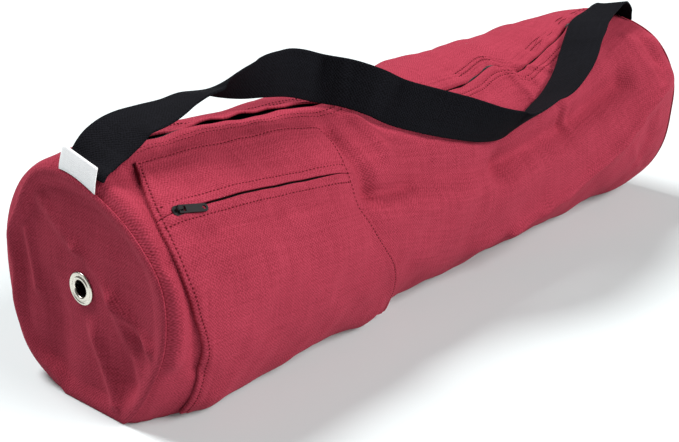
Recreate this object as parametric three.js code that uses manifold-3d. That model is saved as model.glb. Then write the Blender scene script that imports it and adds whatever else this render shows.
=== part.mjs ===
// Yoga mat bag: a heavy canvas tube that lies on its side, closed by a round panel at each end.
// It opens along the top by a long zip, has a flat zipped pocket on one side, a vent eyelet in
// one end panel, and a webbing strap that runs from end seam to end seam.
// Millimetres. +X runs along the bag, -Y is the pocket side, +Z is up and the floor is z = 0.
// Angles round the bag are in degrees: 0 is the top, 90 the pocket side, 180 the underside.

import * as THREE from 'three';
import { mergeVertices } from 'three/addons/utils/BufferGeometryUtils.js';
import Module from 'manifold-3d';

const wasm = await Module();
wasm.setup();

// Driving sizes of the bag
const bag_length = 660;
const end_diameter = 185;
const underside_press = 8;
const canvas_thickness = 1.6;
const layer_gap = 0.3;
const loose_gap = 0.9;
const panel_recess = 4;
const panel_rim_width = 3.6;

// Main zip
const main_zip_angle = -4;
const main_zip_opening = 6.4;
const main_tape_width = 26;
const tape_thickness = 1.2;
const coil_width = 4;
const coil_height = 1.4;
const coil_bevel = 0.3;
const main_zip_end_margin = 5;

// Pocket
const pocket_top_angle = 14;
const pocket_zip_angle = 43.5;
const pocket_bottom_angle = 140;
const pocket_zip_opening = 5;
const pocket_tape_width = 20;
const pocket_tape_end_margin = 6;
const tape_ramp_margin = 2;
const tape_ramp = 8;
const tape_cover_gap = 0.63;

// Zip sliders and pull
const slider_length = 9;
const slider_width = 7.6;
const slider_plate_thickness = 1.2;
const slider_post_width = 3.6;
const slider_post_length = 5;
const slider_nose = 2;
const slider_chamfer = 1;
const bridge_wall = 0.9;
const bridge_width = 2.4;
const pull_length = 22;
const pull_width = 6.3;
const pull_thickness = 1.2;
const pull_bar = 1.4;
const pull_window_length = 4;
const pull_eye_radius = 1.5;
const pull_lean = -12;
const slider_margin = 15;
const running_clearance = 0.5;
const slider_clearance = 0.5;
const weld_depth = 0.3;
const main_slider_margin = 21.6;
const main_slider_height = 3;

// Vent eyelet
const eyelet_bore = 13;
const eyelet_flange = 25;
const eyelet_barrel_wall = 0.6;
const eyelet_flange_thickness = 1.3;
const eyelet_washer_thickness = 1;
const eyelet_washer_inset = 1.2;
const eyelet_gap = 0.45;
const eyelet_height = 92;
const eyelet_across = -1;
const eyelet_flat_margin = 3;

// Strap and label
const webbing_width = 38;
const webbing_thickness = 2;
const label_width = 38;
const label_height = 17.5;
const label_thickness = 1;
const label_seam_gap = 0.5;
const label_corner = 4;
const label_angle = 6;

// Mesh steps
const steps_along = 36;
const steps_around = 42;
const steps_panel_around = 32;
const steps_panel_out = 6;
const steps_pocket_along = 12;
const steps_band = 4;
const steps_pocket_down = 14;
const steps_strap = 64;
const steps_main_zip = 28;
const steps_eyelet = 18;
const steps_pull_curve = 8;
const crowding = 0.08;

const end_radius = end_diameter / 2;
const axis_height = end_radius - underside_press;
const radians = Math.PI / 180;

// Degrees round the bag that a length along its skin spans.
const arc_degrees = (length) => length / end_radius / radians;

// Sections of the tube from the near end seam to the far end seam.
// at is a share of the length, girth a share of the end radius, and turn the degrees that the
// cloth slumps towards the pocket side.
const sections = [
  { at: 0.0, girth: 1.0, turn: 0 },
  { at: 0.018, girth: 1.045, turn: 0 },
  { at: 0.06, girth: 1.075, turn: 0 },
  { at: 0.2, girth: 1.06, turn: 5 },
  { at: 0.36, girth: 1.035, turn: 15 },
  { at: 0.53, girth: 1.022, turn: 30 },
  { at: 0.7, girth: 1.015, turn: 25 },
  { at: 0.86, girth: 1.012, turn: 14 },
  { at: 0.965, girth: 1.015, turn: 5 },
  { at: 0.985, girth: 1.005, turn: 3 },
  { at: 1.0, girth: 0.985, turn: 2 },
];

// Outline of the two end seams: share of the end radius at each angle.
const end_outlines = [
  { angle: -180, near: 0.98, far: 0.99 },
  { angle: -152, near: 1.01, far: 1.0 },
  { angle: -130, near: 1.05, far: 1.0 },
  { angle: -108, near: 0.97, far: 0.98 },
  { angle: -85, near: 0.96, far: 1.0 },
  { angle: -58, near: 1.0, far: 1.01 },
  { angle: -28, near: 1.045, far: 0.99 },
  { angle: -5, near: 1.03, far: 0.98 },
  { angle: 20, near: 0.97, far: 1.0 },
  { angle: 45, near: 1.0, far: 1.06 },
  { angle: 68, near: 1.05, far: 1.04 },
  { angle: 90, near: 1.0, far: 0.97 },
  { angle: 115, near: 0.94, far: 0.98 },
  { angle: 135, near: 0.96, far: 1.0 },
  { angle: 155, near: 1.02, far: 1.0 },
  { angle: 180, near: 0.98, far: 0.99 },
];
const outline_fade = 0.12;

// Folds and hollows of the tube, each along a bowed line from one place to another.
// at is a share of the length, rise and reach are shares of the end radius, bow is in degrees.
const tube_folds = [
  { from_at: 0.975, from: 67, to_at: 0.56, to: 122, bow: 9, rise: 0.065, reach: 0.14 },
  { from_at: 0.9, from: 56, to_at: 0.56, to: 77, bow: 2, rise: -0.08, reach: 0.18 },
  { from_at: 0.56, from: 77, to_at: 0.42, to: 68, bow: 0, rise: -0.05, reach: 0.18 },
  { from_at: 0.38, from: 26, to_at: 0.76, to: 26, bow: 4, rise: -0.06, reach: 0.34 },
  { from_at: 0.36, from: 40, to_at: 0.38, to: 74, bow: 2, rise: -0.05, reach: 0.14 },
  { from_at: 0.41, from: 30, to_at: 0.44, to: 62, bow: 0, rise: 0.035, reach: 0.14 },
  { from_at: 0.026, from: 22, to_at: 0.026, to: 120, bow: 0, rise: 0.025, reach: 0.09 },
  { from_at: 0.07, from: 136, to_at: 0.16, to: 142, bow: 0, rise: 0.03, reach: 0.26 },
  { from_at: 0.08, from: 142, to_at: 0.34, to: 144, bow: 0, rise: 0.035, reach: 0.4 },
  { from_at: 0.345, from: 140, to_at: 0.375, to: 146, bow: 0, rise: 0.035, reach: 0.22 },
  { from_at: 0.92, from: 36, to_at: 0.985, to: 44, bow: 0, rise: 0.035, reach: 0.1 },
  { from_at: 0.93, from: 52, to_at: 0.985, to: 56, bow: 0, rise: -0.03, reach: 0.1 },
  { from_at: 0.9, from: 8, to_at: 0.96, to: -8, bow: 0, rise: -0.025, reach: 0.2 },
  { from_at: 0.3, from: -62, to_at: 0.7, to: -78, bow: -6, rise: -0.035, reach: 0.3 },
  { from_at: 0.62, from: -110, to_at: 0.93, to: -74, bow: 0, rise: 0.035, reach: 0.16 },
];
const fold_steps = 8;
const fold_fade = 0.02;

// Creases of the end panels, from one place to another on the panel.
// y and z are shares of the end radius from the panel's middle, and so are rise and reach.
const panel_creases = [
  { from_y: 0.2, from_z: 0.55, to_y: -0.72, to_z: -0.35, rise: 0.035, reach: 0.07 },
  { from_y: -0.05, from_z: -0.2, to_y: -0.22, to_z: -0.82, rise: 0.035, reach: 0.06 },
  { from_y: 0.72, from_z: 0.2, to_y: 0.5, to_z: -0.55, rise: -0.03, reach: 0.12 },
  { from_y: -0.45, from_z: -0.35, to_y: -0.35, to_z: -0.8, rise: -0.035, reach: 0.1 },
];

// Sides of the pocket: where its cloth ends along the bag at each angle, as shares of the length.
const pocket_sides = [
  { angle: pocket_top_angle, near: 0.056, far: 0.31 },
  { angle: 40, near: 0.03, far: 0.3 },
  { angle: 62, near: 0.022, far: 0.304 },
  { angle: 80, near: 0.029, far: 0.322 },
  { angle: 102, near: 0.044, far: 0.356 },
  { angle: pocket_bottom_angle, near: 0.046, far: 0.386 },
];

// Route of the strap's back edge from the near seam to the far seam.
// at is a share of the length, angle is round the bag, lift is a share of the end radius above the
// canvas, and dip is how far the webbing's width points below level, towards the pocket side.
const strap_route = [
  { at: 0.0055, angle: -4, lift: 0.022, dip: 12 },
  { at: 0.011, angle: -3, lift: 0.11, dip: 28 },
  { at: 0.024, angle: -2, lift: 0.2, dip: 32 },
  { at: 0.044, angle: -2, lift: 0.25, dip: 26 },
  { at: 0.067, angle: -2.5, lift: 0.28, dip: 14 },
  { at: 0.097, angle: -2.2, lift: 0.29, dip: 8 },
  { at: 0.13, angle: -2.2, lift: 0.28, dip: -5 },
  { at: 0.156, angle: -1.6, lift: 0.28, dip: -11 },
  { at: 0.182, angle: -1.3, lift: 0.26, dip: -20 },
  { at: 0.205, angle: 1, lift: 0.21, dip: -42 },
  { at: 0.232, angle: 3.8, lift: 0.185, dip: -60 },
  { at: 0.267, angle: 7, lift: 0.165, dip: -78 },
  { at: 0.302, angle: 8, lift: 0.11, dip: -90 },
  { at: 0.335, angle: 12, lift: 0.06, dip: -102 },
  { at: 0.358, angle: 20.7, lift: 0.05, dip: -105 },
  { at: 0.379, angle: 29, lift: 0.045, dip: -102 },
  { at: 0.403, angle: 37, lift: 0.045, dip: -99 },
  { at: 0.435, angle: 46, lift: 0.04, dip: -94 },
  { at: 0.477, angle: 54, lift: 0.04, dip: -80 },
  { at: 0.532, angle: 61, lift: 0.04, dip: -60 },
  { at: 0.576, angle: 63, lift: 0.04, dip: -48 },
  { at: 0.612, angle: 59, lift: 0.04, dip: -34 },
  { at: 0.648, angle: 54, lift: 0.04, dip: -24 },
  { at: 0.683, angle: 50, lift: 0.04, dip: -18 },
  { at: 0.73, angle: 42, lift: 0.045, dip: -12 },
  { at: 0.785, angle: 30, lift: 0.055, dip: -5 },
  { at: 0.82, angle: 22, lift: 0.065, dip: 0 },
  { at: 0.86, angle: 14, lift: 0.06, dip: 4 },
  { at: 0.9, angle: 8, lift: 0.05, dip: 6 },
  { at: 0.94, angle: 4, lift: 0.08, dip: 8 },
  { at: 0.974, angle: 2, lift: 0.115, dip: 10 },
  { at: 0.988, angle: 1.5, lift: 0.09, dip: 12 },
  { at: 0.9945, angle: 1.3, lift: 0.027, dip: 13 },
];

// Smooth value of one column of a table at a place along its key column.
function from_table(rows, key, column, place) {
  const last = rows.length - 1;
  const inside = Math.min(Math.max(place, rows[0][key]), rows[last][key]);
  let i = 0;
  while (i < last - 1 && inside > rows[i + 1][key]) i += 1;
  const slope = (k) => {
    const a = rows[Math.max(k - 1, 0)];
    const b = rows[Math.min(k + 1, last)];
    return (b[column] - a[column]) / (b[key] - a[key]);
  };
  const span = rows[i + 1][key] - rows[i][key];
  const t = (inside - rows[i][key]) / span;
  const rest = 1 - t;
  return rows[i][column] * rest * rest * (1 + 2 * t)
    + rows[i + 1][column] * t * t * (1 + 2 * rest)
    + slope(i) * span * t * rest * rest
    - slope(i + 1) * span * t * t * rest;
}

const smooth = (t) => THREE.MathUtils.smoothstep(t, 0, 1);
const along_x = (at) => (at - 0.5) * bag_length;

// Distance from a point to the line between two points, in a plane.
function line_distance(px, py, ax, ay, bx, by) {
  const dx = bx - ax;
  const dy = by - ay;
  const t = THREE.MathUtils.clamp(((px - ax) * dx + (py - ay) * dy) / (dx * dx + dy * dy), 0, 1);
  return Math.hypot(px - ax - dx * t, py - ay - dy * t);
}

// Height that the folds add to the tube's skin at a place.
function fold_height(at, angle) {
  const arc = (degrees) => degrees * radians * end_radius;
  const x = along_x(at);
  let height = 0;
  for (const fold of tube_folds) {
    let nearest = Infinity;
    for (let i = 0; i < fold_steps; i += 1) {
      const ends = [i / fold_steps, (i + 1) / fold_steps].map((t) => [
        along_x(THREE.MathUtils.lerp(fold.from_at, fold.to_at, t)),
        arc(THREE.MathUtils.lerp(fold.from, fold.to, t) + fold.bow * Math.sin(Math.PI * t)),
      ]);
      nearest = Math.min(nearest, line_distance(x, arc(angle), ...ends[0], ...ends[1]));
    }
    height += fold.rise * end_radius * Math.exp(-((nearest / (fold.reach * end_radius)) ** 2));
  }
  return height * smooth(Math.min(at, 1 - at) / fold_fade);
}

// Turn an angle of any size into one from -180 to 180.
const wrapped = (angle) => angle - 360 * Math.round(angle / 360);

// Radius of the tube's outer skin at a place.
function skin_radius(at, any_angle) {
  const angle = wrapped(any_angle);
  const near = from_table(end_outlines, 'angle', 'near', angle) - 1;
  const far = from_table(end_outlines, 'angle', 'far', angle) - 1;
  const outline = 1 + near * (1 - smooth(at / outline_fade)) + far * (1 - smooth((1 - at) / outline_fade));
  return end_radius * from_table(sections, 'at', 'girth', at) * outline + fold_height(at, angle);
}

// A point at some height over the tube's outer skin; the floor presses the underside flat.
function over_skin(at, angle, lift) {
  const radius = skin_radius(at, angle) + lift;
  const y = -radius * Math.sin(angle * radians);
  const z = axis_height + radius * Math.cos(angle * radians);
  const end_x = bag_length / 2 - 2 * layer_gap;
  const x = THREE.MathUtils.clamp(along_x(at), -end_x, end_x);
  return new THREE.Vector3(x, y, Math.max(z, Math.max(0, -lift)));
}

// A closed solid between an outer and an inner sheet of points, both given over u and v.
// around joins v = 1 to v = 0, and tip gathers u = 0 into one point.
function sheet_solid(outer, inner, u_places, v_places, { around = false, tip = false } = {}) {
  const points = [];
  const columns = around ? v_places.length - 1 : v_places.length;
  const grid = [outer, inner].map((sheet) => u_places.map((u, i) => {
    if (tip && i === 0) {
      points.push(sheet(u, 0));
      return Array(columns).fill(points.length - 1);
    }
    return v_places.slice(0, columns).map((v) => {
      points.push(sheet(u, v));
      return points.length - 1;
    });
  }));
  const faces = [];
  const quad = (a, b, c, d) => {
    if (a !== b) faces.push([a, b, c]);
    if (c !== d) faces.push([a, c, d]);
  };
  const [top, under] = grid;
  const cells = around ? columns : columns - 1;
  for (let i = 0; i < u_places.length - 1; i += 1) {
    for (let j = 0; j < cells; j += 1) {
      const k = (j + 1) % columns;
      quad(top[i][j], top[i][k], top[i + 1][k], top[i + 1][j]);
      quad(under[i][k], under[i][j], under[i + 1][j], under[i + 1][k]);
    }
    if (!around) {
      quad(top[i + 1][0], under[i + 1][0], under[i][0], top[i][0]);
      quad(top[i][cells], under[i][cells], under[i + 1][cells], top[i + 1][cells]);
    }
  }
  const last = u_places.length - 1;
  for (let j = 0; j < cells; j += 1) {
    const k = (j + 1) % columns;
    if (!tip) quad(under[0][j], under[0][k], top[0][k], top[0][j]);
    quad(top[last][j], top[last][k], under[last][k], under[last][j]);
  }
  let volume = 0;
  for (const [a, b, c] of faces) {
    volume += points[a].dot(new THREE.Vector3().crossVectors(points[b], points[c]));
  }
  const index = faces.flatMap(([a, b, c]) => (volume > 0 ? [a, b, c] : [a, c, b]));
  const geometry = new THREE.BufferGeometry().setFromPoints(points);
  geometry.setIndex(index);
  geometry.computeVertexNormals();
  return geometry;
}

const steps = (count) => Array.from({ length: count + 1 }, (_, i) => i / count);

// Steps that crowd towards both ends, where the seams shape the cloth.
const crowded = (count) => steps(count).map((t) => t - crowding * Math.sin(2 * Math.PI * t));

// Geometry with shared vertices and positions only, as the solid library wants it.
function welded(geometry) {
  const bare = geometry.clone();
  bare.deleteAttribute('normal');
  bare.deleteAttribute('uv');
  return mergeVertices(bare, 1e-4);
}

const to_solid = (geometry) => {
  const bare = welded(geometry);
  return new wasm.Manifold(new wasm.Mesh({
    numProp: 3,
    vertProperties: new Float32Array(bare.attributes.position.array),
    triVerts: new Uint32Array(bare.index.array),
  }));
};

const from_solid = (solid) => {
  const mesh = solid.getMesh();
  const geometry = new THREE.BufferGeometry();
  geometry.setAttribute('position', new THREE.BufferAttribute(new Float32Array(mesh.vertProperties), 3));
  geometry.setIndex(Array.from(mesh.triVerts));
  geometry.computeVertexNormals();
  return geometry;
};

// Materials
const canvas = new THREE.MeshStandardMaterial({ color: 0xa63a4c, roughness: 0.92, metalness: 0 });
const webbing = new THREE.MeshStandardMaterial({ color: 0x15151a, roughness: 0.8, metalness: 0 });
const zip_black = new THREE.MeshStandardMaterial({ color: 0x101014, roughness: 0.6, metalness: 0 });
const black_metal = new THREE.MeshStandardMaterial({ color: 0x18181b, roughness: 0.35, metalness: 0.8 });
const nickel = new THREE.MeshStandardMaterial({ color: 0xc9c9c4, roughness: 0.22, metalness: 1 });
const white_tape = new THREE.MeshStandardMaterial({ color: 0xe9e9ea, roughness: 0.85, metalness: 0 });

const bag = new THREE.Group();

function add(name, geometry, material) {
  const mesh = new THREE.Mesh(geometry, material);
  mesh.name = name;
  bag.add(mesh);
  return mesh;
}

// Angle of the main zip along the bag
const main_zip_at = (at) => main_zip_angle + from_table(sections, 'at', 'turn', at);

// Body: one rectangle of canvas rolled to a tube, whose long edges leave the zip opening
const half_opening = arc_degrees(main_zip_opening / 2);
const body_angle = (at, v) => main_zip_at(at) + half_opening + (360 - 2 * half_opening) * v;
add('body', sheet_solid(
  (u, v) => over_skin(u, body_angle(u, v), 0),
  (u, v) => over_skin(u, body_angle(u, v), -canvas_thickness),
  crowded(steps_along),
  steps(steps_around),
), canvas);

// Main zip: a tape inside the opening, with its coil standing in the gap
const main_tape_lift = -canvas_thickness - loose_gap;
const tape_half = main_tape_width / 2;
const coil_half = coil_width / 2;
const coil_top_half = coil_half - coil_bevel;
const main_tape_places = [-tape_half, -coil_half, -coil_top_half, coil_top_half, coil_half, tape_half];
const main_tape_angle = (u, v) => main_zip_at(u) + arc_degrees(v);
const main_tape_top = (v) => main_tape_lift + (Math.abs(v) < coil_half ? coil_height : 0);
const tape_margin = main_zip_end_margin / bag_length;
add('main_zip', sheet_solid(
  (u, v) => over_skin(u, main_tape_angle(u, v), main_tape_top(v)),
  (u, v) => over_skin(u, main_tape_angle(u, v), main_tape_lift - tape_thickness),
  steps(steps_main_zip).map((t) => THREE.MathUtils.lerp(tape_margin, 1 - tape_margin, t)),
  main_tape_places,
), zip_black);

// Share of the end panel's radius that is soft; the rest is the rim that meets the tube's edge
const rim_share = 1 - panel_rim_width / end_radius;

// Shares of the radius over which the panel's creases and recess come in from the rim or the eyelet
const panel_fades = { eyelet: 0.25, rim: 0.12, recess: 0.16 };

// End panels: round canvas discs, set in a little behind the seam and creased.
// side is -1 at the near end and 1 at the far end; out is 0 at the middle and 1 at the seam.
function panel_point(side, out, turn, depth, hole_radius) {
  const at = side < 0 ? 0 : 1;
  const angle = turn * 360;
  const rim = over_skin(at, angle, 0);
  const start_y = eyelet_across - hole_radius * Math.sin(angle * radians);
  const start_z = eyelet_height + hole_radius * Math.cos(angle * radians);
  const y = THREE.MathUtils.lerp(start_y, rim.y, out);
  const z = THREE.MathUtils.lerp(start_z, rim.z, out);
  const from_eyelet = Math.hypot(y - eyelet_across, z - eyelet_height);
  const flat = eyelet_flange / 2 + eyelet_flat_margin;
  const inset = rim_share - out;
  const off_eyelet = smooth((from_eyelet - flat) / (panel_fades.eyelet * end_radius));
  const free = off_eyelet * smooth(inset / panel_fades.rim);
  let sink = panel_recess * smooth(inset / panel_fades.recess);
  for (const crease of panel_creases) {
    const mirrored = -side;
    const away = line_distance(
      y, z - eyelet_height,
      crease.from_y * end_radius * mirrored, crease.from_z * end_radius,
      crease.to_y * end_radius * mirrored, crease.to_z * end_radius,
    );
    sink -= free * crease.rise * end_radius * Math.exp(-((away / (crease.reach * end_radius)) ** 2));
  }
  return new THREE.Vector3(side * (bag_length / 2 + canvas_thickness - depth - sink), y, z);
}
const eyelet_hole_radius = eyelet_bore / 2 + eyelet_barrel_wall + layer_gap;
const panel_rings = [...steps(steps_panel_out).map((t) => t * rim_share), 1];
for (const [name, side, hole] of [['near_end', -1, eyelet_hole_radius], ['far_end', 1, 0]]) {
  add(name, sheet_solid(
    (u, v) => panel_point(side, u, v, 0, hole),
    (u, v) => panel_point(side, u, v, canvas_thickness, hole),
    panel_rings,
    steps(steps_panel_around),
    { around: true, tip: hole === 0 },
  ), canvas);
}

// Vent eyelet: a spun nickel ring clenched round the hole in the near panel
const bore = eyelet_bore / 2;
const barrel = bore + eyelet_barrel_wall;
const flange = eyelet_flange / 2;
const washer = flange - eyelet_washer_inset;
const face = eyelet_gap;
const back = -canvas_thickness - eyelet_gap;
const under = back - eyelet_washer_thickness;
const crown = face + eyelet_flange_thickness;
const roll = eyelet_flange_thickness / 3;
const eyelet_profile = [
  [bore, under], [washer, under], [washer, back], [barrel, back], [barrel, face], [flange, face],
  [flange - roll, crown - 1.4 * roll], [flange - 4.6 * roll, crown], [bore + 3.7 * roll, crown],
  [bore + 0.7 * roll, crown - roll], [bore, face], [bore, under],
].map(([radius, height]) => new THREE.Vector2(radius, height));
const eyelet = add('grommet', welded(new THREE.LatheGeometry(eyelet_profile, steps_eyelet)), nickel);
const eyelet_seat = new THREE.Vector3(
  -(bag_length / 2 + canvas_thickness - panel_recess), eyelet_across, eyelet_height,
);
eyelet.position.copy(eyelet_seat);
eyelet.rotation.z = Math.PI / 2;

// Pocket cloth: angle steps follow the slump of the bag at the top and less towards the bottom
const pocket_angle = (at, angle) => {
  const grip = 1 - smooth((angle - pocket_top_angle) / (pocket_bottom_angle - pocket_top_angle));
  return angle + grip * from_table(sections, 'at', 'turn', at);
};
const pocket_at = (across, angle) => THREE.MathUtils.lerp(
  from_table(pocket_sides, 'angle', 'near', angle),
  from_table(pocket_sides, 'angle', 'far', angle),
  across,
);

// The pocket's canvas lies on the body and climbs over the zip tape beside the zip.
function pocket_lift(angle) {
  const from_zip = Math.abs(angle - pocket_zip_angle) / arc_degrees(1);
  const over_tape = 1 - smooth((from_zip - pocket_tape_width / 2 - tape_ramp_margin) / tape_ramp);
  return loose_gap + over_tape * (tape_thickness + tape_cover_gap);
}
const pocket_point = (across, angle, extra) => {
  const at = pocket_at(across, angle);
  return over_skin(at, pocket_angle(at, angle), pocket_lift(angle) + extra);
};
const half_pocket_gap = arc_degrees(pocket_zip_opening / 2);
const band_edge = pocket_zip_angle - half_pocket_gap;
const panel_edge = pocket_zip_angle + half_pocket_gap;
const between = (from, to, count) => steps(count).map((t) => THREE.MathUtils.lerp(from, to, t));
for (const [name, from, to, rows] of [
  ['pocket_band', pocket_top_angle, band_edge, steps_band],
  ['pocket_panel', panel_edge, pocket_bottom_angle, steps_pocket_down],
]) {
  add(name, sheet_solid(
    (u, v) => pocket_point(u, v, canvas_thickness),
    (u, v) => pocket_point(u, v, 0),
    steps(steps_pocket_along),
    between(from, to, rows),
  ), canvas);
}

// Pocket zip: its tape lies between the body and the pocket's canvas
const tape_share = pocket_tape_end_margin / bag_length;
const pocket_tape_point = (across, offset, lift) => {
  const near = pocket_at(0, pocket_zip_angle) + tape_share;
  const far = pocket_at(1, pocket_zip_angle) - tape_share;
  const at = THREE.MathUtils.lerp(near, far, across);
  return over_skin(at, pocket_angle(at, pocket_zip_angle + arc_degrees(offset)), lift);
};
add('pocket_zip', sheet_solid(
  (u, v) => pocket_tape_point(u, v, loose_gap + tape_thickness),
  (u, v) => pocket_tape_point(u, v, loose_gap),
  steps(steps_pocket_along),
  [-pocket_tape_width / 2, 0, pocket_tape_width / 2],
), zip_black);

// Frame on the skin: x along a zip, z straight out of the bag.
function seat_frame(at, angle, lift, lean) {
  const origin = over_skin(at, angle, lift);
  const next = at + slider_length / bag_length;
  const slump = from_table(sections, 'at', 'turn', next) - from_table(sections, 'at', 'turn', at);
  const ahead = over_skin(next, angle + slump, lift);
  const out = new THREE.Vector3(0, -Math.sin(angle * radians), Math.cos(angle * radians));
  const along = ahead.sub(origin).normalize();
  out.addScaledVector(along, -out.dot(along)).normalize();
  along.applyAxisAngle(out, lean * radians);
  const across = new THREE.Vector3().crossVectors(out, along);
  return new THREE.Matrix4().makeBasis(along, across, out).setPosition(origin);
}

// Slider: a plate on a post, with a bridge that the pull's bar passes through.
const bar_reach = Math.hypot(pull_bar, pull_thickness) / 2 + running_clearance;
const hinge_height = slider_plate_thickness + bar_reach;
function slider_geometry(post_height) {
  const outline = new THREE.Shape();
  const half_length = slider_length / 2;
  const half_width = slider_width / 2;
  outline.moveTo(-half_length, -half_width + slider_nose);
  outline.lineTo(-half_length + slider_nose, -half_width);
  outline.lineTo(half_length - slider_chamfer, -half_width);
  outline.lineTo(half_length, -half_width + slider_chamfer);
  outline.lineTo(half_length, half_width - slider_chamfer);
  outline.lineTo(half_length - slider_chamfer, half_width);
  outline.lineTo(-half_length + slider_nose, half_width);
  outline.lineTo(-half_length, half_width - slider_nose);
  const plate = new THREE.ExtrudeGeometry(outline, { depth: slider_plate_thickness, bevelEnabled: false });
  const post = new THREE.BoxGeometry(slider_post_length, slider_post_width, post_height + weld_depth);
  post.translate(0, 0, (weld_depth - post_height) / 2);
  const half = bar_reach + running_clearance / 2;
  const arch = new THREE.Shape();
  const foot = -weld_depth;
  const top = bar_reach * 2;
  arch.moveTo(-half - bridge_wall, foot);
  arch.lineTo(-half, foot);
  arch.lineTo(-half, top);
  arch.lineTo(half, top);
  arch.lineTo(half, foot);
  arch.lineTo(half + bridge_wall, foot);
  arch.lineTo(half + bridge_wall, top + bridge_wall / 2);
  arch.lineTo(half, top + bridge_wall);
  arch.lineTo(-half, top + bridge_wall);
  arch.lineTo(-half - bridge_wall, top + bridge_wall / 2);
  const bridge = new THREE.ExtrudeGeometry(arch, { depth: bridge_width, bevelEnabled: false });
  bridge.rotateX(Math.PI / 2);
  bridge.translate(0, bridge_width / 2, slider_plate_thickness);
  return from_solid(to_solid(plate).add(to_solid(post)).add(to_solid(bridge)));
}

const slider_at = pocket_at(0, pocket_zip_angle) + slider_margin / bag_length;
const slider_angle = pocket_angle(slider_at, pocket_zip_angle);
const cloth_top = pocket_lift(pocket_zip_angle) + canvas_thickness;
const slider_lift = cloth_top + slider_clearance;
const post_height = slider_lift - loose_gap - tape_thickness - 2 * layer_gap;
const pocket_slider = add('pocket_slider', slider_geometry(post_height), black_metal);
pocket_slider.applyMatrix4(seat_frame(slider_at, slider_angle, slider_lift, 0));

// Pull: a flat tab with a window round the bridge, a bar for the hinge and an eye at its tip.
const pull_outline = new THREE.Shape();
const half_pull = pull_width / 2;
const tip = pull_length - half_pull;
pull_outline.moveTo(-pull_bar / 2, -half_pull);
pull_outline.lineTo(tip, -half_pull);
pull_outline.absarc(tip, 0, half_pull, -Math.PI / 2, Math.PI / 2, false);
pull_outline.lineTo(-pull_bar / 2, half_pull);
pull_outline.closePath();
const pull_window = new THREE.Path();
const lean_room = Math.abs(Math.sin(pull_lean * radians)) * slider_post_length / 2;
const window_half = bridge_width / 2 + running_clearance / 2 + lean_room;
pull_window.moveTo(pull_bar / 2, -window_half);
pull_window.lineTo(pull_bar / 2, window_half);
pull_window.lineTo(pull_bar / 2 + pull_window_length, window_half);
pull_window.lineTo(pull_bar / 2 + pull_window_length, -window_half);
pull_window.closePath();
const pull_eye = new THREE.Path();
pull_eye.absarc(tip, 0, pull_eye_radius, 0, Math.PI * 2, true);
pull_outline.holes.push(pull_window, pull_eye);
const pull_body = new THREE.ExtrudeGeometry(pull_outline, {
  depth: pull_thickness, bevelEnabled: false, curveSegments: steps_pull_curve,
});
pull_body.translate(0, 0, -pull_thickness / 2);
const pocket_pull = add('pocket_pull', welded(pull_body), black_metal);
pocket_pull.applyMatrix4(seat_frame(slider_at, slider_angle, slider_lift + hinge_height, pull_lean));

// Main slider: plain, under the strap at the near end of the main zip
const main_slider_at = main_slider_margin / bag_length;
const main_slider_box = new THREE.BoxGeometry(slider_length, coil_width, main_slider_height);
const main_slider_lift = main_tape_lift + coil_height + layer_gap + main_slider_height / 2;
const main_slider = add('main_slider', welded(main_slider_box), black_metal);
main_slider.applyMatrix4(seat_frame(main_slider_at, main_zip_at(main_slider_at), main_slider_lift, 0));

// Strap: webbing that leaves the near seam, turns on edge over the bag, leans on the pocket side
// and turns flat again to the far seam. Its back edge follows the route.
const strap_places = strap_route.map((row) => over_skin(row.at, row.angle, row.lift * end_radius));
const strap_edge = new THREE.CatmullRomCurve3(strap_places);
const strap_dips = strap_route.map((row, i) => ({ step: i / (strap_route.length - 1), dip: row.dip }));
function strap_point(u, v, side) {
  const back_edge = strap_edge.getPoint(u);
  const along = strap_edge.getTangent(u);
  const dip = from_table(strap_dips, 'step', 'dip', u) * radians;
  const width = new THREE.Vector3(0, -Math.cos(dip), -Math.sin(dip));
  width.addScaledVector(along, -width.dot(along)).normalize();
  const thick = new THREE.Vector3().crossVectors(width, along);
  back_edge.addScaledVector(width, v * webbing_width);
  return back_edge.addScaledVector(thick, side * webbing_thickness / 2);
}
add('strap', sheet_solid(
  (u, v) => strap_point(u, v, 1),
  (u, v) => strap_point(u, v, -1),
  steps(steps_strap),
  [0, 0.5, 1],
), webbing);

// Label: a folded tag that stands out of the near seam in front of the strap
const label_front = -(bag_length / 2 + canvas_thickness);
const label_half = arc_degrees(label_width / 2);
function label_point(u, v, depth) {
  const from_side = (0.5 - Math.abs(u - 0.5)) * label_width;
  const short = Math.max(0, label_corner - from_side);
  const height = label_height - label_corner + Math.sqrt(Math.max(0, label_corner ** 2 - short ** 2));
  const angle = label_angle + (u * 2 - 1) * label_half;
  const point = over_skin(0, angle, label_seam_gap + v * height);
  point.x = label_front + depth;
  return point;
}
add('label', sheet_solid(
  (u, v) => label_point(u, v, 0),
  (u, v) => label_point(u, v, label_thickness),
  [0, 0.03, 0.1, 0.3, 0.5, 0.7, 0.9, 0.97, 1],
  [0, 1],
), white_tape);

// The origin is the middle of the floor under the whole bag
const middle = new THREE.Box3().setFromObject(bag, true).getCenter(new THREE.Vector3());
bag.position.set(-middle.x, -middle.y, 0);

export default bag;
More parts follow.
